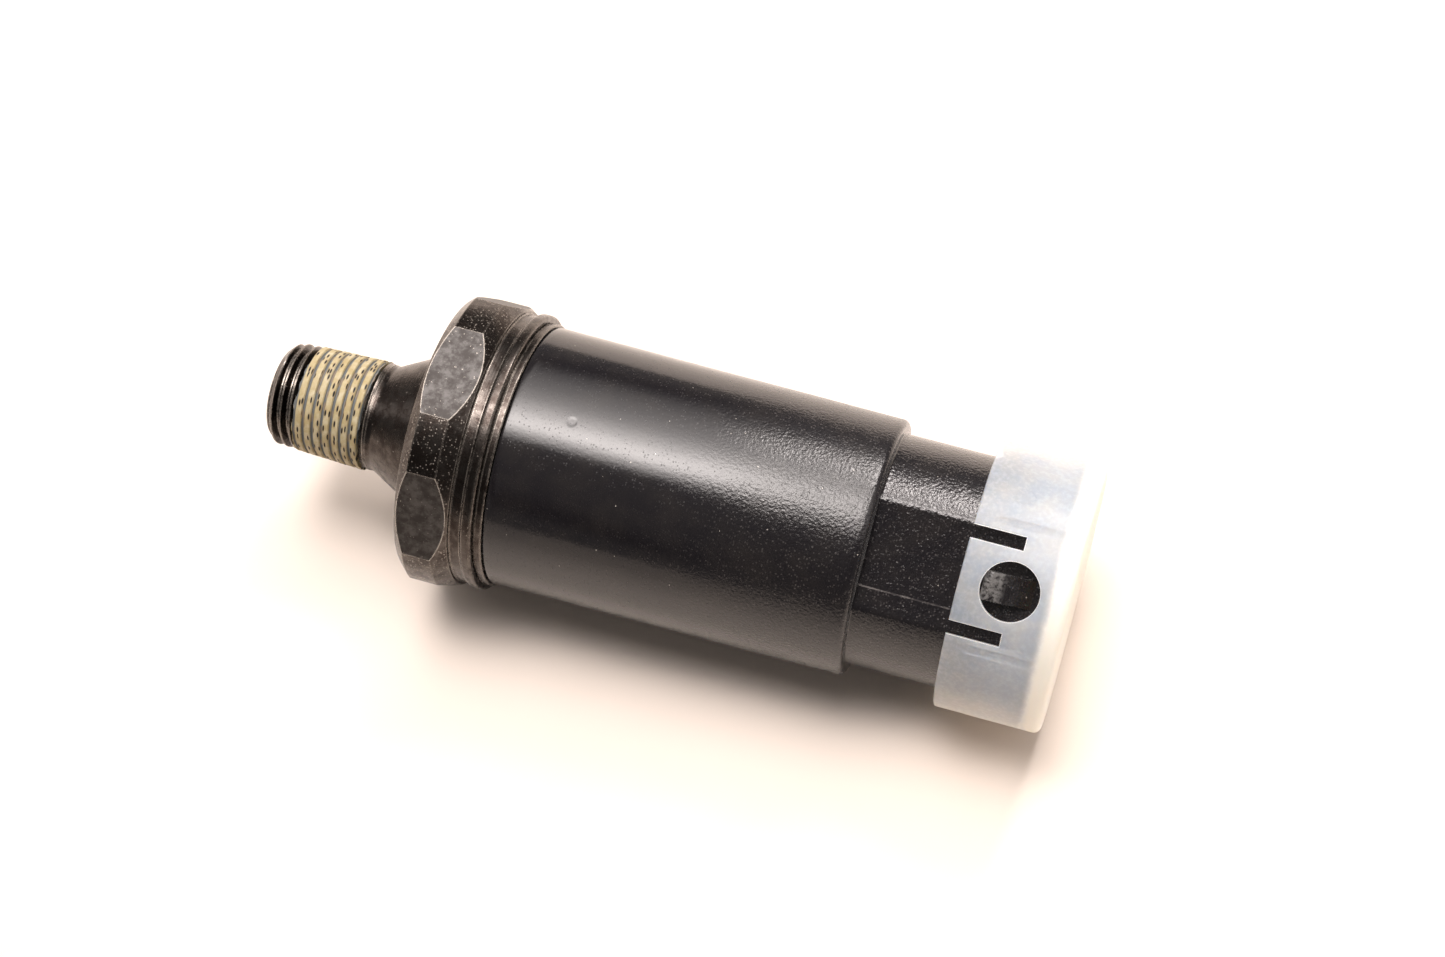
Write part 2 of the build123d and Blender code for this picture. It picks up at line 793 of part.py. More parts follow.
for side in (-1, 1):
    slot_mid = side * (cap_tongue_width + cap_slot_width) / 2
    slot = block(cap_x - past, cap_x + cap_slot_length, -cap_r - past, -neck_r / 2,
                 slot_mid - cap_slot_width / 2, slot_mid + cap_slot_width / 2)
    cup -= at_latch(slot)
save("dust_cap", cup)
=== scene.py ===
import json
from math import acos, atan2, cos, floor, hypot, pi, radians, sin, tan

import bmesh
import bpy
from mathutils import Matrix, Vector, noise


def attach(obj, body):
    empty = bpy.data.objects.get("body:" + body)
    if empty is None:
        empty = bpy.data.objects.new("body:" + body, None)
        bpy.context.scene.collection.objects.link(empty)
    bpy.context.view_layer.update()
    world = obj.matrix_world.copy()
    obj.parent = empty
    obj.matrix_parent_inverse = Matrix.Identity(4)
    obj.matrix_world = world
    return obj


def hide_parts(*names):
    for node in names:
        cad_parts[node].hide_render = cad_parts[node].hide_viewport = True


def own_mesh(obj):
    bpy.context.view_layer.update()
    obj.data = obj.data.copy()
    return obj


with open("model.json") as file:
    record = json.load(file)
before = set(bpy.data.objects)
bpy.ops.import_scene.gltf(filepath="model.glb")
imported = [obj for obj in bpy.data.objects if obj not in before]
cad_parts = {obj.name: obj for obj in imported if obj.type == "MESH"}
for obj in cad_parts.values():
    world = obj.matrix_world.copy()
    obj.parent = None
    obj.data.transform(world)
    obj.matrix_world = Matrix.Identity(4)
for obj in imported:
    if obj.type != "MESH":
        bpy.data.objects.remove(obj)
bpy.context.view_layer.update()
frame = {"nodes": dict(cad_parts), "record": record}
mm = 0.001  # every piece is drawn in millimetres and brought to metres at the end
latchAngle = radians(62.5)  # the latch and the cap's window, from -Y up towards +Z


# Helpers for meshes
def rounded(corners, steps=4):
    # corners are (x, radius from the axis) or (x, radius, rounding), and rounding becomes an arc
    line = []
    for i, corner in enumerate(corners):
        if len(corner) == 2 or i in (0, len(corners) - 1):
            line.append(Vector(corner[:2]))
            continue
        here = Vector(corner[:2])
        toLast = (Vector(corners[i - 1][:2]) - here).normalized()
        toNext = (Vector(corners[i + 1][:2]) - here).normalized()
        half = acos(max(-1, min(1, toLast.dot(toNext)))) / 2
        centre = here + (toLast + toNext).normalized() * corner[2] / sin(half)
        start = here + toLast * corner[2] / tan(half) - centre
        end = here + toNext * corner[2] / tan(half) - centre
        turn = atan2(start.cross(end), start.dot(end))
        for k in range(steps + 1):
            line.append(centre + Matrix.Rotation(turn * k / steps, 2) @ start)
    return line


def divided(line, longest):
    # adds points so that no straight stretch is longer than this
    out = [line[0]]
    for a, b in zip(line, line[1:]):
        count = max(1, int((b - a).length / longest + 0.5))
        out += [a.lerp(b, (k + 1) / count) for k in range(count)]
    return out


def wholeTurn(bm, line, steps, pitch=0.0):
    # an eighth of a turn is spun from a line of (x, radius), and doubled three times
    part = bmesh.new()
    verts = [part.verts.new((p[0], p[1], 0)) for p in line]
    edges = [part.edges.new(pair) for pair in zip(verts, verts[1:])]
    bmesh.ops.spin(part, geom=verts + edges, cent=(0, 0, 0), axis=(1, 0, 0),
                   dvec=(pitch / steps, 0, 0), angle=pi / 4, steps=steps // 8)
    for share in (1 / 8, 1 / 4, 1 / 2):
        made = bmesh.ops.duplicate(part, geom=part.verts[:] + part.edges[:] + part.faces[:])["geom"]
        verts = [v for v in made if isinstance(v, bmesh.types.BMVert)]
        bmesh.ops.rotate(part, cent=(0, 0, 0), matrix=Matrix.Rotation(share * 2 * pi, 3, "X"),
                         verts=verts)
        bmesh.ops.translate(part, vec=(pitch * share, 0, 0), verts=verts)
        bmesh.ops.remove_doubles(part, verts=part.verts, dist=1e-4)
    mesh = bpy.data.meshes.new("turn")
    part.to_mesh(mesh)
    part.free()
    bm.from_mesh(mesh)
    bpy.data.meshes.remove(mesh)


def radial(vert):
    return hypot(vert.co.y, vert.co.z)


def setRadius(vert, radius):
    now = radial(vert)
    if now > 1e-6:
        vert.co.y *= radius / now
        vert.co.z *= radius / now


def toObject(name, bm):
    bmesh.ops.recalc_face_normals(bm, faces=bm.faces)
    mesh = bpy.data.meshes.new(name)
    bm.to_mesh(mesh)
    bm.free()
    obj = bpy.data.objects.new(name, mesh)
    bpy.context.scene.collection.objects.link(obj)
    return obj


def boxTool(name, lows, highs, turn=0):
    # one tool of several boxes, each turned from -Y up about the axis
    bm = bmesh.new()
    for low, high in zip(lows, highs):
        made = bmesh.ops.create_cube(bm, size=1)["verts"]
        size = Vector(high) - Vector(low)
        bmesh.ops.scale(bm, vec=size, verts=made)
        bmesh.ops.translate(bm, vec=(Vector(low) + Vector(high)) / 2, verts=made)
    bmesh.ops.rotate(bm, cent=(0, 0, 0), matrix=Matrix.Rotation(-turn, 3, "X"), verts=bm.verts)
    return toObject(name, bm)


def combine(obj, tool, operation):
    cut = obj.modifiers.new(operation, "BOOLEAN")
    cut.operation = operation
    cut.solver = "EXACT"
    cut.object = tool
    graph = bpy.context.evaluated_depsgraph_get()
    mesh = bpy.data.meshes.new_from_object(obj.evaluated_get(graph))
    obj.modifiers.clear()
    obj.data = mesh
    bpy.data.objects.remove(tool)


def finishPiece(obj, material, node, sharp=28):
    obj.data.transform(Matrix.Scale(mm, 4))
    obj.data.shade_smooth()
    obj.data.set_sharp_from_angle(angle=radians(sharp))
    obj.data.materials.clear()
    obj.data.materials.append(material)
    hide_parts(node)
    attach(obj, "sender")
    print(obj.name, len(obj.data.polygons), "faces")


# Helpers for materials
def newMaterial(name, **values):
    material = bpy.data.materials.new(name)
    material.use_nodes = True
    tree = material.node_tree
    shader = tree.nodes["Principled BSDF"]
    for key, value in values.items():
        shader.inputs[key.replace("_", " ")].default_value = value
    return material, tree, shader


def add(tree, kind, sockets=None, **settings):
    made = tree.nodes.new("ShaderNode" + kind)
    for key, value in settings.items():
        setattr(made, key, value)
    for key, value in (sockets or {}).items():
        if isinstance(value, bpy.types.NodeSocket):
            tree.links.new(value, made.inputs[key])
        else:
            made.inputs[key].default_value = value
    return made


def inMillimetres(tree, stretch=(1, 1, 1)):
    place = add(tree, "TexCoord").outputs["Object"]
    scale = [s / mm for s in stretch]
    return add(tree, "Mapping", {"Vector": place, "Scale": scale}).outputs["Vector"]


def noiseOf(tree, place, scale, detail=4, roughness=0.55, lacunarity=2.0):
    return add(tree, "TexNoise", {"Vector": place, "Scale": scale, "Detail": detail,
                                  "Roughness": roughness, "Lacunarity": lacunarity}).outputs["Fac"]


def ramp(tree, value, low, high, fromLow=0.0, toHigh=1.0):
    return add(tree, "MapRange", {"Value": value, "From Min": low, "From Max": high,
                                  "To Min": fromLow, "To Max": toHigh},
               interpolation_type="SMOOTHSTEP").outputs["Result"]


def maths(tree, operation, a, b=0.0):
    return add(tree, "Math", {0: a, 1: b}, operation=operation).outputs["Value"]


def product(tree, first, *others):
    for other in others:
        first = maths(tree, "MULTIPLY", first, other)
    return first


def total(tree, first, *others):
    for other in others:
        first = maths(tree, "ADD", first, other)
    return first


def nearZero(tree, value, outer, inner):
    # 1 where the value is within the inner distance of zero, 0 past the outer one
    return ramp(tree, maths(tree, "ABSOLUTE", value), outer, inner)


def chosen(tree, cells, low, high):
    # 1 in some of a Voronoi pattern's cells and 0 in the others
    return ramp(tree, add(tree, "SeparateColor", {"Color": cells["Color"]}).outputs["Red"], low, high)


def cellsOf(tree, place, scale, randomness=1.0, **settings):
    sockets = {"Vector": place, "Scale": scale, "Randomness": randomness}
    return add(tree, "TexVoronoi", sockets, **settings).outputs


def axes(tree, place):
    return add(tree, "SeparateXYZ", {"Vector": place}).outputs


def distanceTo(tree, place, spot):
    return add(tree, "VectorMath", {0: place, 1: spot}, operation="DISTANCE").outputs["Value"]


def attributeOf(tree, name):
    return add(tree, "Attribute", attribute_name=name).outputs["Fac"]


def mixColour(tree, share, a, b):
    made = add(tree, "Mix", data_type="RGBA")
    for socket, value in ((made.inputs["Factor"], share), (made.inputs[6], a), (made.inputs[7], b)):
        if isinstance(value, bpy.types.NodeSocket):
            tree.links.new(value, socket)
        elif hasattr(value, "__len__"):
            socket.default_value = (*value, 1) if len(value) == 3 else value
        else:
            socket.default_value = value
    return made.outputs[2]


def bump(tree, height, distance, strength=1.0, normal=None):
    sockets = {"Height": height, "Distance": distance * mm, "Strength": strength}
    if normal:
        sockets["Normal"] = normal
    return add(tree, "Bump", sockets).outputs["Normal"]


def edgesOf(tree, radius, low, high):
    # 1 along an edge and 0 away from it: the rounded normal leaves the true one there
    rounder = add(tree, "Bevel", {"Radius": radius * mm}, samples=6).outputs["Normal"]
    flat = add(tree, "NewGeometry").outputs["True Normal"]
    same = add(tree, "VectorMath", {0: rounder, 1: flat}, operation="DOT_PRODUCT").outputs["Value"]
    return ramp(tree, same, low, high)


def link(tree, shader, **sockets):
    for key, value in sockets.items():
        tree.links.new(value, shader.inputs[key.replace("_", " ")])


# Blacked steel of the base
steelLook = {
    "dark": (0.04, 0.032, 0.028),
    "light": (0.084, 0.074, 0.067),
    "flatDark": (0.046, 0.042, 0.04),
    "flatLight": (0.1, 0.095, 0.092),
    # pale tone of the worn edges, and of the painted glint specks
    "worn": (0.62, 0.56, 0.49),
    "brown": (0.09, 0.06, 0.04),
    "brownShare": 0.6,
    "roughness": (0.2, 0.31),
    "flatRoughness": 0.45,
    "mottle": (0.8, 9, 0.72),  # scale, detail and roughness, as for each noise below
    "grain": (5.0, 3, 0.65),
    "latheRings": (7.0, 3, 0.6),
    "wornPatches": (1.7, 5, 0.7),
    "glintFreckles": (4.2, 2, 0.5),
    "edge": 0.17,  # width of the worn edges
    "turnedWear": 0.4,  # how worn the turned edges are beside the flats' edges
    "cornerMiddle": 9,  # painted glint specks lie on the hexagon's corners around this x
    "cornerReach": (2.6, 2.2),
    "cornerGlints": 4.4,
    "glintShare": 0.5,
    "wearAndGlintMetal": 0.8,
}


def blackedSteel():
    look = steelLook
    material, tree, shader = newMaterial("blackedSteel")
    place = inMillimetres(tree)
    turned = attributeOf(tree, "turned")
    mottle = noiseOf(tree, place, *look["mottle"])
    grain = noiseOf(tree, place, *look["grain"])
    patches = ramp(tree, mottle, 0.4, 0.64)
    onFlat = mixColour(tree, patches, look["flatDark"], look["flatLight"])
    onRound = mixColour(tree, patches, look["dark"], look["light"])
    colour = mixColour(tree, turned, onFlat, onRound)
    brown = product(tree, attributeOf(tree, "crest"), look["brownShare"])
    colour = mixColour(tree, brown, colour, look["brown"])

    patchy = ramp(tree, noiseOf(tree, place, *look["wornPatches"]), 0.3, 0.5)
    edges = edgesOf(tree, look["edge"], 0.996, 0.984)
    edgeWear = product(tree, edges, patchy, ramp(tree, turned, 0, 1, 1, look["turnedWear"]))
    # painted glints: pale specks on the corner strips and freckles all over, which join the worn edges
    # in one pale, less metallic tone
    fromMiddle = maths(tree, "SUBTRACT", axes(tree, place)["X"], look["cornerMiddle"])
    corners = product(tree, turned, nearZero(tree, fromMiddle, *look["cornerReach"]))
    cells = cellsOf(tree, place, look["cornerGlints"])
    dots = ramp(tree, cells["Distance"], 0.42, 0.15)
    glintSpecks = product(tree, chosen(tree, cells, 0.5, 0.6), dots, corners)
    glintFreckles = ramp(tree, noiseOf(tree, place, *look["glintFreckles"]), 0.7, 0.75)
    glintSpecks = product(tree, maths(tree, "MAXIMUM", glintFreckles, glintSpecks), look["glintShare"])
    worn = maths(tree, "MAXIMUM", edgeWear, glintSpecks)
    colour = mixColour(tree, worn, colour, look["worn"])
    metal = maths(tree, "SUBTRACT", 1.0, product(tree, worn, look["wearAndGlintMetal"]))

    low, high = look["roughness"]
    roundRough = ramp(tree, mottle, 0.3, 0.7, high, low)
    rough = add(tree, "Mix", {"Factor": turned, 2: look["flatRoughness"], 3: roundRough}).outputs[0]
    rings = noiseOf(tree, inMillimetres(tree, (1, 0.02, 0.02)), *look["latheRings"])
    height = total(tree, product(tree, rings, turned), product(tree, grain, 0.9))
    link(tree, shader, Base_Color=colour, Roughness=rough, Metallic=metal,
         Normal=bump(tree, height, 0.018, 0.8, bump(tree, mottle, 0.02, 0.4)))
    return material


# Thread sealant
sealantLook = {
    "cream": (0.4, 0.32, 0.165),
    "pale": (0.5, 0.44, 0.29),
    "ochre": (0.36, 0.2, 0.05),
    "groove": (0.13, 0.14, 0.14),
    "brown": (0.3, 0.21, 0.12),
    "brownShare": 0.45,
    "pit": (0.012, 0.012, 0.01),
    "clouds": (0.9, 5, 0.6),
    "fine": (6.0, 3, 0.6),
    "raggedness": 0.35,
    "dashScale": 0.8,
    "dashRatio": 3.6,  # how many times longer than wide the dark pits are
    "dashes": (0.4, 0.43),  # raised, fewer of the dashes are there
}


def curedSealant():
    look = sealantLook
    material, tree, shader = newMaterial("curedSealant", Specular_IOR_Level=0.35)
    place = inMillimetres(tree)
    clouds = noiseOf(tree, place, *look["clouds"])
    fine = noiseOf(tree, place, *look["fine"])
    colour = mixColour(tree, ramp(tree, clouds, 0.35, 0.7), look["cream"], look["pale"])
    colour = mixColour(tree, ramp(tree, fine, 0.6, 0.74, 0, 0.6), colour, look["ochre"])
    crest = attributeOf(tree, "crest")
    # painted shade: the roots between the crests are darkened, with ragged borders
    ragged = total(tree, crest, product(tree, maths(tree, "SUBTRACT", fine, 0.5), look["raggedness"]))
    colour = mixColour(tree, ramp(tree, ragged, 0.3, 0.62), look["groove"], colour)

    # the dashes lie along the thread, so they are drawn on its unrolled surface
    way = axes(tree, place)
    turn = maths(tree, "ARCTAN2", way["Z"], product(tree, way["Y"], -1.0))
    across = total(tree, way["X"], product(tree, turn, base["pitch"] / (2 * pi)))
    unrolled = add(tree, "CombineXYZ", {"X": product(tree, across, look["dashRatio"]),
                                        "Y": product(tree, turn, base["threadRadius"])})
    cells = cellsOf(tree, unrolled.outputs["Vector"], look["dashScale"], 0.9, voronoi_dimensions="2D")
    dashes = chosen(tree, cells, *look["dashes"])
    stain = product(tree, ramp(tree, cells["Distance"], 0.5, 0.25), dashes, look["brownShare"])
    colour = mixColour(tree, stain, colour, look["brown"])
    pit = product(tree, ramp(tree, cells["Distance"], 0.27, 0.22), dashes, ramp(tree, crest, 0.5, 0.8))
    colour = mixColour(tree, pit, colour, look["pit"])
    link(tree, shader, Base_Color=colour, Roughness=ramp(tree, fine, 0.3, 0.7, 0.5, 0.72),
         Normal=bump(tree, maths(tree, "SUBTRACT", fine, pit), 0.04, 0.7))
    return material


# Black moulding of the housing
mouldingLook = {
    "black": (0.0075, 0.0065, 0.008),
    "worn": (0.014, 0.012, 0.012),
    "clouds": (0.3, 6, 0.6),
    "scuff": (0.09, 0.086, 0.08),
    "scuffStretch": (0.25, 1.6, 1.6),
    "scuffs": (1.4, 6, 0.75),
    "scuffShare": 0.12,
    "scuffRough": 0.06,
    "dust": (0.4, 0.37, 0.33),
    "dustScale": 0.62,
    "duller": (24, 47),  # from here to here the body turns from smooth to sparkly
    "smooth": 0.2,
    "dull": 0.27,
    "neckStart": 49.0,
    "neckGloss": 0.1,  # how much less rough the neck is
    "waves": (1.3, 4, 0.6),
    "sparkles": (3.4, 2, 0.6),
    "sparkle": 0.05,
    # tone of the flecks: partly the plastic's grain, partly painted sparkle
    "grainAndSparkleFleck": (0.042, 0.038, 0.037),
    "fleckScale": 4.2,
    "fleckRough": 0.22,
    "pebbles": (3.6, 2, 0.5),
    "scraped": (0.16, 0.155, 0.15),  # the latch's rough end
    "scrapes": (2.2, 4, 0.6),
    "latchTop": (-10.1, -10.3),  # the latch stands out past this, seen from its own side
    "latchSide": (1.4, 1.36),
    "latchEnd": (61.9, 61.2),
    "seam": 2.98,  # how far the parting line lies below the latch
    "seamTone": (0.13, 0.12, 0.115),
    "seamWidth": (0.09, 0.04),
    "seamFrom": (-9, -9.4),
    "seamGaps": (0.6, 3, 0.6),
    "dent": (20.52, -1.22, 12.42),
    "dentReach": (0.62, 0.2),
}


def blackMoulding():
    look = mouldingLook
    material, tree, shader = newMaterial("blackMoulding", IOR=1.52, Sheen_Weight=0.1,
                                         Sheen_Roughness=0.4)
    place = inMillimetres(tree)
    along = axes(tree, place)["X"]
    clouds = noiseOf(tree, place, *look["clouds"])
    stretched = inMillimetres(tree, look["scuffStretch"])
    scuff = ramp(tree, noiseOf(tree, stretched, *look["scuffs"]), 0.62, 0.8)
    colour = mixColour(tree, ramp(tree, clouds, 0.35, 0.75), look["black"], look["worn"])
    colour = mixColour(tree, product(tree, scuff, look["scuffShare"]), colour, look["scuff"])
    dust = ramp(tree, cellsOf(tree, place, look["dustScale"])["Distance"], 0.05, 0.025)
    colour = mixColour(tree, dust, colour, look["dust"])

    duller = ramp(tree, along, *look["duller"])
    neck = ramp(tree, along, look["neckStart"] - 0.2, look["neckStart"] + 0.2)
    # paler flecks, stronger from x 24 to 47: partly the plastic's grain, partly painted sparkle of the
    # highlight; they also roughen the surface
    cells = cellsOf(tree, place, look["fleckScale"])
    grainAndSparkleFleck = product(tree, chosen(tree, cells, 0.45, 0.95), ramp(tree, cells["Distance"], 0.5, 0.2))
    colour = mixColour(tree, product(tree, grainAndSparkleFleck, duller), colour, look["grainAndSparkleFleck"])
    rough = total(tree, ramp(tree, duller, 0, 1, look["smooth"], look["dull"]),
                  product(tree, scuff, look["scuffRough"]),
                  product(tree, maths(tree, "SUBTRACT", grainAndSparkleFleck, 0.3), look["fleckRough"]))
    rough = maths(tree, "SUBTRACT", rough, product(tree, neck, look["neckGloss"]))

    turned = add(tree, "Mapping", {"Vector": place, "Rotation": (latchAngle, 0, 0)}).outputs["Vector"]
    latch = axes(tree, turned)  # -Y is now the latch's side
    onLatch = product(tree, ramp(tree, latch["Y"], *look["latchTop"]),
                      nearZero(tree, latch["Z"], *look["latchSide"]))
    scrapes = ramp(tree, noiseOf(tree, place, *look["scrapes"]), 0.35, 0.6)
    scraped = product(tree, onLatch, ramp(tree, along, *look["latchEnd"]), scrapes, neck)
    colour = mixColour(tree, scraped, colour, look["scraped"])
    gaps = ramp(tree, noiseOf(tree, place, *look["seamGaps"]), 0.4, 0.6, 0.25)
    seam = nearZero(tree, total(tree, latch["Z"], look["seam"]), *look["seamWidth"])
    seam = product(tree, seam, neck, ramp(tree, latch["Y"], *look["seamFrom"]), gaps)
    colour = mixColour(tree, seam, colour, look["seamTone"])

    waves = bump(tree, noiseOf(tree, place, *look["waves"]), 0.008, 0.7)
    sparkle = product(tree, noiseOf(tree, place, *look["sparkles"]), ramp(tree, duller, 0, 1, 0.1, 1.0))
    grain = bump(tree, sparkle, look["sparkle"], 1.0, waves)
    dent = ramp(tree, distanceTo(tree, place, look["dent"]), *look["dentReach"])
    pebbles = product(tree, noiseOf(tree, place, *look["pebbles"]), neck)
    link(tree, shader, Base_Color=colour, Roughness=rough,
         Normal=bump(tree, maths(tree, "SUBTRACT", pebbles, dent), 0.03, 0.9, grain))
    return material


# Milky moulding of the dust cap
capLook = {
    "milk": (0.55, 0.61, 0.68),
    "paleMilk": (0.68, 0.69, 0.69),
    "cream": (0.93, 0.87, 0.76),
    "paintedLightCream": 0.8,  # of the lower side, painted light
    "paintedLightLow": (4.5, -4.5),  # painted light: the height from which the lower side turns creamy and more opaque, and where it fully is
    "alpha": 0.47,
    "paintedLightAlpha": 0.4,
    "rimAlpha": 0.93,
    "rimStart": 65.2,
    "rimFade": 1.3,
    "lengthways": (58, 66, -0.08, 0.1),  # from x to x the alpha changes from this to that
    "clouds": (0.35, 5, 0.55),
    "fine": (2.4, 4, 0.6),
    "edge": 0.16,
    "cut": (0.95, 0.93, 0.9),  # tone of the cut edges, partly a painted highlight
    "pinMarks": [(61.43, 2.866, 12.315), (64.79, 4.012, 11.99)],  # rings left by ejector pins
    "pinRadius": 0.8,
    "pinWidth": (0.16, 0.05),
    "pinHeight": 1.2,
}


def milkyMoulding():
    look = capLook
    material, tree, shader = newMaterial("milkyMoulding", Roughness=0.38, IOR=1.5,
                                         Subsurface_Weight=0.6, Subsurface_Scale=0.003)
    shader.inputs["Subsurface Radius"].default_value = (1.0, 0.8, 0.6)
    place = inMillimetres(tree)
    way = axes(tree, place)
    clouds = noiseOf(tree, place, *look["clouds"])
    fine = noiseOf(tree, place, *look["fine"])
    wavy = total(tree, way["X"], product(tree, maths(tree, "SUBTRACT", clouds, 0.5), 0.35))
    rim = ramp(tree, wavy, look["rimStart"], look["rimStart"] + look["rimFade"])
    # painted light from the floor: the lower side turns creamy and more opaque
    low = ramp(tree, way["Z"], *look["paintedLightLow"])
    colour = mixColour(tree, ramp(tree, clouds, 0.3, 0.7), look["milk"], look["paleMilk"])
    rimCreamAndPaintedLight = maths(tree, "MAXIMUM", rim, product(tree, low, look["paintedLightCream"]))
    colour = mixColour(tree, rimCreamAndPaintedLight, colour, look["cream"])
    alpha = total(tree, ramp(tree, rim, 0.0, 1.0, look["alpha"], look["rimAlpha"]),
                  ramp(tree, fine, 0.4, 0.7, -0.03, 0.04), ramp(tree, way["X"], *look["lengthways"]),
                  product(tree, low, look["paintedLightAlpha"]))
    # the cut and rounded edges turn whiter and opaque: partly the wall seen edge-on, partly a painted
    # highlight
    cut = edgesOf(tree, look["edge"], 0.985, 0.9)
    colour = mixColour(tree, cut, colour, look["cut"])
    alpha = maths(tree, "MAXIMUM", alpha, product(tree, cut, 0.97))
    height = total(tree, clouds, product(tree, fine, 0.2))
    for mark in look["pinMarks"]:
        fromRing = maths(tree, "SUBTRACT", distanceTo(tree, place, mark), look["pinRadius"])
        ring = nearZero(tree, fromRing, *look["pinWidth"])
        height = total(tree, height, product(tree, ring, look["pinHeight"]))
    link(tree, shader, Base_Color=colour, Alpha=alpha, Normal=bump(tree, height, 0.05, 0.5))
    return material


# Base: thread, flare, hexagon and crimped cup
base = {
    "steps": 192,
    "longest": 1.2,  # no straight stretch of the profile is divided longer than this
    "pitch": 25.4 / 27,
    "threadTip": -10.29,
    "spareTurns": 2.2,  # turns of thread drawn past the tip and trimmed away
    "threadRadius": 5.3016,
    "halfTaper": 1 / 32,
    "threadDepth": 0.6,
    "crestFlat": 0.13,
    "rootFlat": 0.1,
    "tipChamfer": 0.71,
    "tipWall": 0.6,  # width of the flat ring around the port
    "runout": 0.8,
    "wear": ((1.3, 0.02), (5, 0.008)),  # scale and depth of the thread's unevenness
    "port": 1.51,
    "restrictorRadius": 2.38,
    "restrictorSeat": 5.45,
    "undercut": 5.1516,
    "undercutEnd": 0.47,
    "hexFace": 6.3,
    "flareRadius": 8.2515,
    "hexBack": 11.52,
    "hexFlat": 13.49375,
    "hexCorner": 14.26375,
    "frontBevel": (1.04, 0.22),  # length of the cone that cuts the corners, depth inside the flats
    "backBevel": (1.42, 0.13),
    "collarGroove": 0.38,
    "collar": 12.65,
    "collarRadius": 13.41375,
    "lip": 13.78,
    "lipGroove": (0.09, 0.19),
    "lipEnd": 14.58,
    "lipRadius": 12.75375,
    "lipInside": 11.664,
    "lipUnder": 13.4,
    "cupRadius": 12.274,
    "cupFloor": 9.04,
    "chamberRadius": 9.814,
    "chamberFloor": 8.28,
}


def threadLine(length, start, depth, crestFlat, rootFlat, top=0.0, cuts=4):
    # a run of thread along x
    pitch = base["pitch"]
    top += base["threadRadius"]
    flank = (pitch - crestFlat - rootFlat) / 2
    line = []
    for turn in range(int(length / pitch) + 1):
        x = start + turn * pitch
        line += [(x, top - depth), (x + rootFlat, top - depth)]
        line += [(x + rootFlat + flank * k / cuts, top - depth + depth * k / cuts)
                 for k in range(1, cuts)]
        line += [(x + rootFlat + flank, top), (x + rootFlat + flank + crestFlat, top)]
        line += [(x + rootFlat + flank + crestFlat + flank * k / cuts, top - depth * k / cuts)
                 for k in range(1, cuts)]
    return line


def trim(bm, x, keep):
    # clears what lies beyond a plane across the axis: keep is +1 for the +X side
    bmesh.ops.bisect_plane(bm, geom=bm.verts[:] + bm.edges[:] + bm.faces[:], dist=1e-5,
                           plane_co=(x, 0, 0), plane_no=(-keep, 0, 0), clear_outer=True)


def rimAt(bm, x):
    return [e for e in bm.edges if e.is_boundary and all(abs(v.co.x - x) < 1e-3 for v in e.verts)]


def crestCone(x):
    return base["threadRadius"] + x * base["halfTaper"]


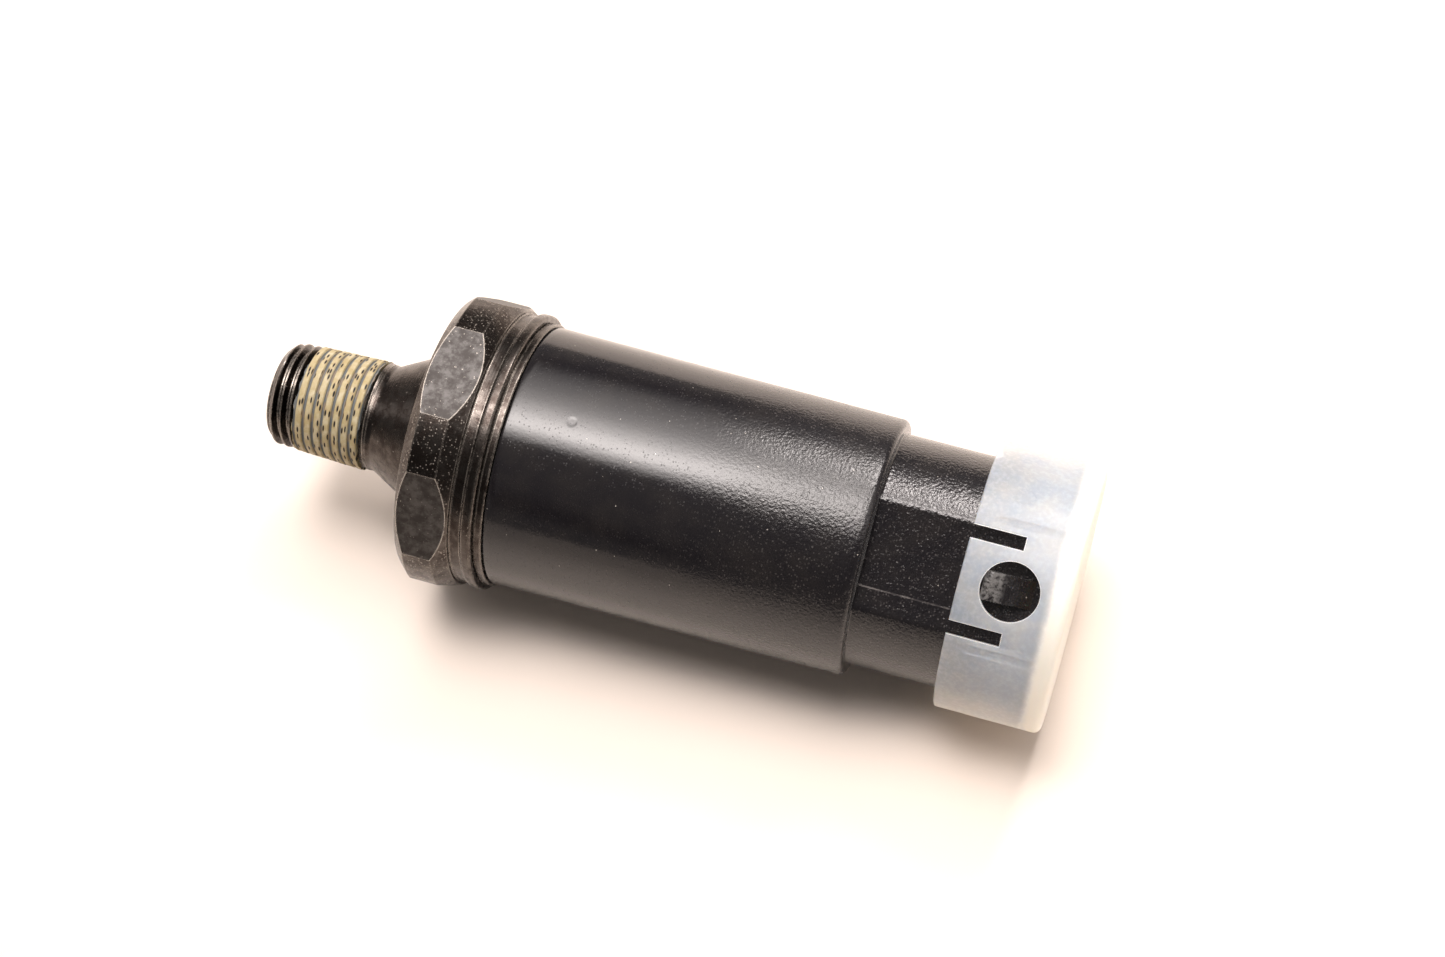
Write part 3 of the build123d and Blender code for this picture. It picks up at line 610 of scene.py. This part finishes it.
def buildBase():
    b = base
    bm = bmesh.new()
    start = b["threadTip"] - b["spareTurns"] * b["pitch"]
    wholeTurn(bm, threadLine(-start + b["pitch"], start, b["threadDepth"], b["crestFlat"],
                             b["rootFlat"]), b["steps"], b["pitch"])
    trim(bm, b["threadTip"], 1)
    trim(bm, 0, -1)
    tipRadius = crestCone(b["threadTip"]) - b["tipChamfer"]
    for vert in bm.verts:
        x = vert.co.x
        worn = sum(noise.noise(vert.co * scale) * depth for scale, depth in b["wear"])
        radius = radial(vert) - b["threadRadius"] + crestCone(x) + worn
        radius = min(radius, tipRadius + (x - b["threadTip"]))
        fade = min(1, max(0, (x + b["runout"]) / b["runout"]))
        radius += (b["undercut"] + 0.03 - radius) * fade * fade * (3 - 2 * fade)
        setRadius(vert, radius)
    threadVerts = set(bm.verts)

    frontLength, frontDepth = b["frontBevel"]
    backLength, backDepth = b["backBevel"]
    grooveLength, grooveDepth = b["lipGroove"]
    grooveRadius = b["collarRadius"] - b["collarGroove"]
    lipStart = b["lip"] + grooveLength
    line = rounded([
        (0, b["undercut"]),
        (b["undercutEnd"], b["undercut"], 0.85),
        (b["hexFace"], b["flareRadius"], 0.25),
        (b["hexFace"], b["hexFlat"] - frontDepth, 0.12),
        (b["hexFace"] + frontLength, b["hexCorner"], 0.12),
        (b["hexBack"] - backLength, b["hexCorner"], 0.15),
        (b["hexBack"], b["hexFlat"] - backDepth, 0.1),
        (b["hexBack"], grooveRadius, 0.15),
        (b["collar"], grooveRadius, 0.1),
        (b["collar"], b["collarRadius"], 0.34),
        (b["lip"], b["collarRadius"], 0.3),
        (b["lip"], b["lipRadius"] - grooveDepth),
        (lipStart, b["lipRadius"] - grooveDepth),
        (lipStart, b["lipRadius"], 0.06),
        (b["lipEnd"], b["lipRadius"], 0.15),
        (b["lipEnd"], b["lipInside"]),
        (b["lipUnder"], b["lipInside"]),
        (b["lipUnder"], b["cupRadius"]),
        (b["cupFloor"], b["cupRadius"]),
        (b["cupFloor"], b["chamberRadius"]),
        (b["chamberFloor"], b["chamberRadius"]),
        (b["chamberFloor"], b["restrictorRadius"]),
        (b["restrictorSeat"], b["restrictorRadius"]),
        (b["restrictorSeat"], b["port"]),
        (b["threadTip"], b["port"], 0.2),
        (b["threadTip"], b["port"] + b["tipWall"]),
    ], steps=6)
    wholeTurn(bm, divided(line, b["longest"]), b["steps"])
    for x in (0, b["threadTip"]):
        bmesh.ops.bridge_loops(bm, edges=rimAt(bm, x))
    for k in range(6):
        turn = radians(30 + 60 * k)
        outward = Vector((0, cos(turn), sin(turn)))
        cut = bmesh.ops.bisect_plane(bm, geom=bm.verts[:] + bm.edges[:] + bm.faces[:], dist=1e-5,
                                     plane_co=outward * b["hexFlat"], plane_no=outward,
                                     clear_outer=True)["geom_cut"]
        edges = [e for e in cut if isinstance(e, bmesh.types.BMEdge)]
        bmesh.ops.contextual_create(bm, geom=edges)
    bmesh.ops.remove_doubles(bm, verts=bm.verts, dist=1e-4)

    crest = bm.verts.layers.float.new("crest")
    turned = bm.faces.layers.float.new("turned")
    for vert in bm.verts:
        radius = radial(vert)
        if vert in threadVerts and vert.co.x < 0.01:
            vert[crest] = max(0, 1 - (crestCone(vert.co.x) - radius) / 0.12)
    for face in bm.faces:
        face[turned] = 0.0 if len(face.verts) > 8 else 1.0  # only the flats have so many corners
    obj = toObject("base", bm)
    finishPiece(obj, blackedSteel(), "hex_base", sharp=17)


# Sealant on the thread
sealant = {
    "steps": 256,
    "start": -7.36,
    "end": -0.75,
    "depth": 0.24,
    "top": 0.07,
    "crestFlat": 0.5,
    "rootFlat": 0.12,
    "thickness": 0.5,
    "ragged": 0.2,
    "lumps": ((1.1, 0.03), (4, 0.02)),  # scale and height
}


def buildSealant():
    s = sealant
    bm = bmesh.new()
    flank = (base["pitch"] - base["crestFlat"] - base["rootFlat"]) / 2
    ownFlank = (base["pitch"] - s["crestFlat"] - s["rootFlat"]) / 2
    centre = base["rootFlat"] + flank + base["crestFlat"] / 2
    ownCentre = s["rootFlat"] + ownFlank + s["crestFlat"] / 2
    start = base["threadTip"] - base["spareTurns"] * base["pitch"] + centre - ownCentre
    wholeTurn(bm, threadLine(-start + base["pitch"], start, s["depth"], s["crestFlat"],
                             s["rootFlat"], s["top"], cuts=5), s["steps"], base["pitch"])
    trim(bm, s["start"], 1)
    trim(bm, s["end"], -1)
    crest = bm.verts.layers.float.new("crest")
    for vert in bm.verts:
        height = radial(vert) - base["threadRadius"]
        vert[crest] = (height - s["top"] + s["depth"]) / s["depth"]
        lump = sum(noise.noise(vert.co * scale) * lift for scale, lift in s["lumps"])
        setRadius(vert, crestCone(vert.co.x) + height + lump)
    for x in (s["start"], s["end"]):
        rim = rimAt(bm, x)
        made = bmesh.ops.extrude_edge_only(bm, edges=rim)["geom"]
        for vert in made:
            if isinstance(vert, bmesh.types.BMVert):
                setRadius(vert, crestCone(x) - s["thickness"])
        for vert in {v for e in rim for v in e.verts}:
            around = Vector((x, vert.co.y, vert.co.z)) * 0.9
            vert.co.x += (noise.noise(around) + 0.4 * noise.noise(around * 4)) * s["ragged"]
    bmesh.ops.remove_doubles(bm, verts=bm.verts, dist=1e-4)
    bmesh.ops.bridge_loops(bm, edges=[e for e in bm.edges if e.is_boundary])
    obj = toObject("sealantBand", bm)
    finishPiece(obj, curedSealant(), "thread_sealant", sharp=40)


# Housing: flange, body, neck, socket and latch ramp
housing = {
    "steps": 256,
    "longest": 0.55,
    "flange": 11.46,
    "flangeTop": 13.4,
    "flangeRadius": 12.224,
    "seatRadius": 11.614,
    "body": 14.63,
    "bodyRadius": 12.534,
    "shoulder": 48.91,
    "bodyEnd": 12.214,
    "neckRadius": 10.984,
    "neckFlat": 9.75,  # the flat that carries the latch, and the same flat in the socket
    "socketFlat": 8.7,
    "mouth": 66.1,
    "socketRadius": 9.654,
    "socketFloor": 49.85,
    "bulkhead": 47.02,
    "insideRadius": 10.674,
    "latch": 59.745,
    "latchHeight": 0.76,
    "latchRoot": 0.28,
    "latchLand": 0.85,
    "latchRamp": 4.16,
    "latchWidth": 2.64,
    "latchRound": 0.08,
    "skin": 11.6,  # what lies further out than this is the body's outside
    "sinkWaves": (0.09, 0.12, 0.12),
    "sink": 0.03,  # how far the body's skin waves in and out
    "sinkDepth": 0.02,
}


def buildHousing():
    h = housing
    bm = bmesh.new()
    line = rounded([
        (h["socketFloor"], 0),
        (h["socketFloor"], h["socketRadius"], 0.28),
        (h["mouth"], h["socketRadius"], 0.28),
        (h["mouth"], h["neckRadius"], 0.28),
        (h["shoulder"], h["neckRadius"], 0.24),
        (h["shoulder"], h["bodyEnd"], 0.57),
        (h["body"], h["bodyRadius"], 0.19),
        (h["body"], h["seatRadius"]),
        (h["flangeTop"], h["seatRadius"]),
        (h["flangeTop"], h["flangeRadius"]),
        (h["flange"], h["flangeRadius"]),
        (h["flange"], h["insideRadius"]),
        (h["bulkhead"], h["insideRadius"]),
        (h["bulkhead"], 0),
    ])
    wholeTurn(bm, divided(line, h["longest"]), h["steps"])
    for vert in bm.verts:
        if vert.co.x > h["body"] + 0.5 and radial(vert) > h["skin"]:
            sink = noise.noise(Vector([way * wave for way, wave in zip(vert.co, h["sinkWaves"])]))
            setRadius(vert, radial(vert) + sink * h["sink"] - h["sinkDepth"])
        if vert.co.x > h["shoulder"] + 0.01:
            aside = cos(atan2(vert.co.z, -vert.co.y) - latchAngle)
            flat = h["neckFlat"] if radial(vert) > h["socketRadius"] + 0.3 else h["socketFlat"]
            if aside > 0.5 and radial(vert) * aside > flat:
                setRadius(vert, flat / aside)
    obj = toObject("plugHousing", bm)

    wedge = bmesh.new()
    back = h["latch"]
    root = h["neckFlat"] - h["latchRoot"]
    top = h["neckRadius"] + h["latchHeight"]
    land = back + h["latchLand"]
    face = wedge.faces.new([wedge.verts.new((x, -r, -h["latchWidth"] / 2)) for x, r in (
        (back, root), (back, top), (land, top), (land + h["latchRamp"], root))])
    sides = bmesh.ops.extrude_face_region(wedge, geom=[face])["geom"]
    bmesh.ops.translate(wedge, vec=(0, 0, h["latchWidth"]),
                        verts=[v for v in sides if isinstance(v, bmesh.types.BMVert)])
    bmesh.ops.recalc_face_normals(wedge, faces=wedge.faces)
    bmesh.ops.bevel(wedge, geom=wedge.edges[:], offset=h["latchRound"], segments=2, profile=0.5,
                    affect="EDGES", material=-1)
    bmesh.ops.rotate(wedge, cent=(0, 0, 0), matrix=Matrix.Rotation(-latchAngle, 3, "X"),
                     verts=wedge.verts)
    combine(obj, toObject("wedge", wedge), "UNION")
    finishPiece(obj, blackMoulding(), "housing")


# Dust cap
cap = {
    "steps": 240,
    "longest": 0.6,
    "mouth": 57.68,
    "end": 67.63,
    "floor": 66.12,
    "radius": 12.644,
    "inside": 11.844,
    "ribs": 6,
    "ribReach": 11.034,
    "ribWidth": 0.94,
    "ribStart": 59.33,
    "hole": 62.26,
    "holeRadius": 2.665,
    "holeDepth": 8,
    "slotInner": -8,  # the slots are cut from outside to this Y
    "slotEnd": 62.5,
    "slotWidth": 1.23,
    "tongue": 7.46,
}


def buildCap():
    c = cap
    bm = bmesh.new()
    line = rounded([
        (c["end"], 0),
        (c["end"], c["radius"], 0.76),
        (c["mouth"], c["radius"], 0.19),
        (c["mouth"], c["inside"], 0.1),
        (c["floor"], c["inside"], 0.3),
        (c["floor"], 0),
    ], steps=6)
    wholeTurn(bm, divided(line, c["longest"]), c["steps"])
    ribFaces = []
    for face in bm.faces:
        middle = face.calc_center_median()
        depth = hypot(middle.y, middle.z)
        if abs(depth - c["inside"]) > 0.02 or not c["ribStart"] < middle.x < c["floor"] - 0.3:
            continue
        turn = (atan2(middle.z, -middle.y) - latchAngle) * c["ribs"] / (2 * pi) - 0.5
        off = abs(turn - floor(turn + 0.5)) * 2 * pi / c["ribs"] * c["inside"]
        if off < c["ribWidth"] / 2:
            ribFaces.append(face)
    made = bmesh.ops.extrude_face_region(bm, geom=ribFaces)["geom"]
    bmesh.ops.delete(bm, geom=ribFaces, context="FACES_ONLY")
    for vert in made:
        if isinstance(vert, bmesh.types.BMVert):
            setRadius(vert, c["ribReach"])
    obj = toObject("dustCap", bm)

    hole = bmesh.new()
    bmesh.ops.create_cone(hole, cap_ends=True, segments=96, radius1=c["holeRadius"],
                          radius2=c["holeRadius"], depth=c["holeDepth"])
    bmesh.ops.rotate(hole, cent=(0, 0, 0), matrix=Matrix.Rotation(radians(90), 3, "X"),
                     verts=hole.verts)
    bmesh.ops.translate(hole, vec=(c["hole"], -c["radius"], 0), verts=hole.verts)
    bmesh.ops.rotate(hole, cent=(0, 0, 0), matrix=Matrix.Rotation(-latchAngle, 3, "X"),
                     verts=hole.verts)
    combine(obj, toObject("holeTool", hole), "DIFFERENCE")
    middle = (c["tongue"] + c["slotWidth"]) / 2
    lows = [(c["mouth"] - 1, -c["radius"] - 1, side * middle - c["slotWidth"] / 2) for side in (-1, 1)]
    highs = [(c["slotEnd"], c["slotInner"], side * middle + c["slotWidth"] / 2) for side in (-1, 1)]
    combine(obj, boxTool("slotTool", lows, highs, latchAngle), "DIFFERENCE")
    finishPiece(obj, milkyMoulding(), "dust_cap")


# Finishes of the parts inside, which keep their own shapes
inner = {
    # slot: tone, duller tone, metal or not, roughness from and to, scale of the clouds
    "brass_parts": ((0.62, 0.42, 0.16), (0.36, 0.24, 0.1), 1, (0.22, 0.42), 3),
    "zinc_sheet": ((0.6, 0.6, 0.58), (0.36, 0.37, 0.38), 1, (0.28, 0.5), 1.2),
    "spring_steel": ((0.5, 0.49, 0.47), (0.25, 0.24, 0.23), 1, (0.2, 0.4), 4),
    "silver_contact": ((0.8, 0.79, 0.76), (0.5, 0.48, 0.42), 1, (0.15, 0.35), 5),
    "tinned_brass": ((0.68, 0.67, 0.63), (0.42, 0.4, 0.36), 1, (0.25, 0.48), 1.5),
    "resistance_wire": ((0.4, 0.35, 0.3), (0.2, 0.17, 0.15), 1, (0.3, 0.5), 5),
    "white_moulding": ((0.76, 0.74, 0.67), (0.6, 0.57, 0.48), 0, (0.35, 0.5), 1),
    "card_board": ((0.34, 0.17, 0.07), (0.2, 0.1, 0.045), 0, (0.5, 0.7), 2),
    "gasket": ((0.02, 0.02, 0.02), (0.045, 0.045, 0.045), 0, (0.6, 0.8), 2),
    "diaphragm_sheet": ((0.16, 0.06, 0.035), (0.08, 0.035, 0.025), 0, (0.55, 0.75), 3),
    "lead_cover": ((0.42, 0.03, 0.02), (0.25, 0.02, 0.02), 0, (0.35, 0.55), 2),
}


def innerFinish(slotName, tone, dull, metal, rough, scale):
    material, tree, shader = newMaterial(slotName, Metallic=metal)
    place = inMillimetres(tree)
    clouds = noiseOf(tree, place, scale, 6, 0.6)
    fine = noiseOf(tree, place, scale * 7, 3, 0.55)
    colour = mixColour(tree, ramp(tree, clouds, 0.35, 0.7), tone, dull)
    link(tree, shader, Base_Color=colour, Roughness=ramp(tree, fine, 0.3, 0.7, *rough),
         Normal=bump(tree, total(tree, clouds, fine), 0.01, 0.5))
    return material


def dressInside():
    made = {name: innerFinish(name, *look) for name, look in inner.items()}
    for part in frame["record"]["subparts"]:
        if part["material_slot"] in made:
            node = frame["nodes"][part["node"]]
            node.data.materials.clear()
            node.data.materials.append(made[part["material_slot"]])
    print("inside parts dressed", len(made))
    return made


def buildSpring(material):
    bm = bmesh.new()
    bm.from_mesh(frame["nodes"]["return_spring"].data)
    bmesh.ops.scale(bm, vec=(1 / mm, 1 / mm, 1 / mm), verts=bm.verts)
    bmesh.ops.remove_doubles(bm, verts=bm.verts, dist=1e-4)
    obj = toObject("coilSpring", bm)
    finishPiece(obj, material, "return_spring")
    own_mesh(obj)


# Floor, light and camera
studio = {
    "floorSize": 8.0,
    "floorLow": (10.1, -13.494),  # the hexagon's edge, then the cap's edge, touch the floor
    "floorHigh": (67.0, -12.644),
    "paper": (0.88, 0.79, 0.71),
    "light": 18.0,
    "tint": (1.0, 0.93, 0.9),
    # brightness of the ceiling by angle from straight up, towards the far side
    "ceiling": [(-90, 0.008), (-14, 0.015), (-6, 0.5), (0, 1.0), (6, 0.92), (13, 0.62), (25, 0.3),
                (37, 0.17), (50, 0.095), (62, 0.045), (75, 0.02), (90, 0.015)],
    "aside": (-10, 9, 18),  # the panel's middle along the sender, and where its sides fade
    "asideDim": 0.1,
    "frontDim": 0.6,  # painted shade: the paper darkens towards the viewer, between these two Y, where the light falls off
    "front": (-110, -15),
    "below": 0.5,
    "horizon": (-0.03, 0.03),
    "room": 0.17,  # even light from both ends, which the long sides don't mirror
    "roomFrom": (20, 40),
    "lampPlace": (75, 322, 383),
    "lampAim": (55, 0, 10),
    "lampSize": (120, 150),
    "lampPower": 1.2,
}
camera = {
    "aim": (28.333, 0, 0),
    "azimuth": 21.35,
    "elevation": 63.69,
    "roll": -4.58,
    "distance": 244.14,
    "right": 5.28,
    "up": 1.31,
    "focal": 2600,  # in pixels of the photograph
    "imageWidth": 1445,
}


def buildFloor():
    r = studio
    bm = bmesh.new()
    bmesh.ops.create_grid(bm, x_segments=8, y_segments=8, size=r["floorSize"] / 2)
    (x0, z0), (x1, z1) = r["floorLow"], r["floorHigh"]
    slope = atan2(z1 - z0, x1 - x0)
    bmesh.ops.rotate(bm, cent=(0, 0, 0), matrix=Matrix.Rotation(-slope, 3, "Y"), verts=bm.verts)
    bmesh.ops.translate(bm, vec=(x0 * mm, 0, z0 * mm), verts=bm.verts)
    obj = toObject("floor", bm)
    material, tree, shader = newMaterial("paper", Roughness=0.75, Specular_IOR_Level=0.2)
    place = inMillimetres(tree)
    tone = ramp(tree, noiseOf(tree, place, 0.03, 3, 0.5), 0.3, 0.7)
    paper = r["paper"]
    shade = [channel * 0.97 for channel in paper]
    # painted shade: the paper darkens towards the viewer
    dimmed = [channel * r["frontDim"] for channel in paper]
    front = ramp(tree, axes(tree, place)["Y"], *r["front"])
    colour = mixColour(tree, front, dimmed, mixColour(tree, tone, shade, paper))
    link(tree, shader, Base_Color=colour,
         Normal=bump(tree, noiseOf(tree, place, 3.0, 4), 0.01, 0.3))
    obj.data.materials.append(material)


def buildRoom():
    r = studio
    world = bpy.data.worlds.new("room")
    bpy.context.scene.world = world
    world.use_nodes = True
    tree = world.node_tree
    way = axes(tree, add(tree, "TexCoord").outputs["Generated"])
    across = maths(tree, "ARCTAN2", way["Y"], way["Z"])
    share = add(tree, "MapRange", {"Value": across, "From Min": -pi / 2, "From Max": pi / 2})
    panel = add(tree, "ValToRGB", {"Fac": share.outputs["Result"]})
    stops = panel.color_ramp.elements
    for angle, glow in r["ceiling"]:
        share = (angle + 90) / 180
        stop = stops[0] if share == 0 else stops[len(stops) - 1] if share == 1 else stops.new(share)
        stop.color = (glow, glow, glow, 1)
    middle, full, gone = (radians(angle) for angle in r["aside"])
    along = maths(tree, "SUBTRACT", maths(tree, "ARCTAN2", way["X"], way["Z"]), middle)
    side = ramp(tree, maths(tree, "ABSOLUTE", along), full, gone, 1.0, r["asideDim"])
    light = product(tree, panel.outputs["Color"], side, r["light"])
    near, far = (radians(angle) for angle in r["roomFrom"])
    ends = ramp(tree, maths(tree, "ABSOLUTE", along), near, far, 0.0, r["room"])
    light = mixColour(tree, total(tree, light, ends), (0, 0, 0), r["tint"])
    tree.nodes[light.node.name].clamp_factor = False
    low = [tone * r["below"] for tone in r["paper"]]
    colour = mixColour(tree, ramp(tree, way["Z"], *r["horizon"]), low, light)
    tree.links.new(colour, tree.nodes["Background"].inputs["Color"])


def buildLamp():
    r = studio
    lamp = bpy.data.lights.new("softLamp", "AREA")
    lamp.shape = "RECTANGLE"
    lamp.size, lamp.size_y = (side * mm for side in r["lampSize"])
    lamp.energy = r["lampPower"]
    lamp.color = r["tint"]
    obj = bpy.data.objects.new("softLamp", lamp)
    bpy.context.scene.collection.objects.link(obj)
    place = Vector(r["lampPlace"])
    towards = (Vector(r["lampAim"]) - place).to_track_quat("-Z", "Y")
    obj.matrix_world = Matrix.Translation(place * mm) @ towards.to_matrix().to_4x4()


def buildStudio():
    buildFloor()
    buildRoom()
    buildLamp()
    bpy.context.scene.view_settings.view_transform = "Standard"

    c = camera
    azimuth, elevation, roll = (radians(c[key]) for key in ("azimuth", "elevation", "roll"))
    back = Vector((cos(elevation) * sin(azimuth), -cos(elevation) * cos(azimuth), sin(elevation)))
    right = Vector((cos(azimuth), sin(azimuth), 0))
    up = back.cross(right)
    right, up = right * cos(roll) + up * sin(roll), up * cos(roll) - right * sin(roll)
    place = Vector(c["aim"]) + back * c["distance"] + right * c["right"] + up * c["up"]
    lens = bpy.data.cameras.new("camera")
    lens.sensor_width = 36
    lens.lens = c["focal"] / c["imageWidth"] * lens.sensor_width
    lens.clip_start = 0.01
    obj = bpy.data.objects.new("camera", lens)
    bpy.context.scene.collection.objects.link(obj)
    obj.matrix_world = Matrix.Translation(place * mm) @ Matrix((right, up, back)).transposed().to_4x4()
    bpy.context.scene.camera = obj
    print("studio ready")


buildBase()
buildSealant()
buildHousing()
buildCap()
finishes = dressInside()
buildSpring(finishes["spring_steel"])
buildStudio()
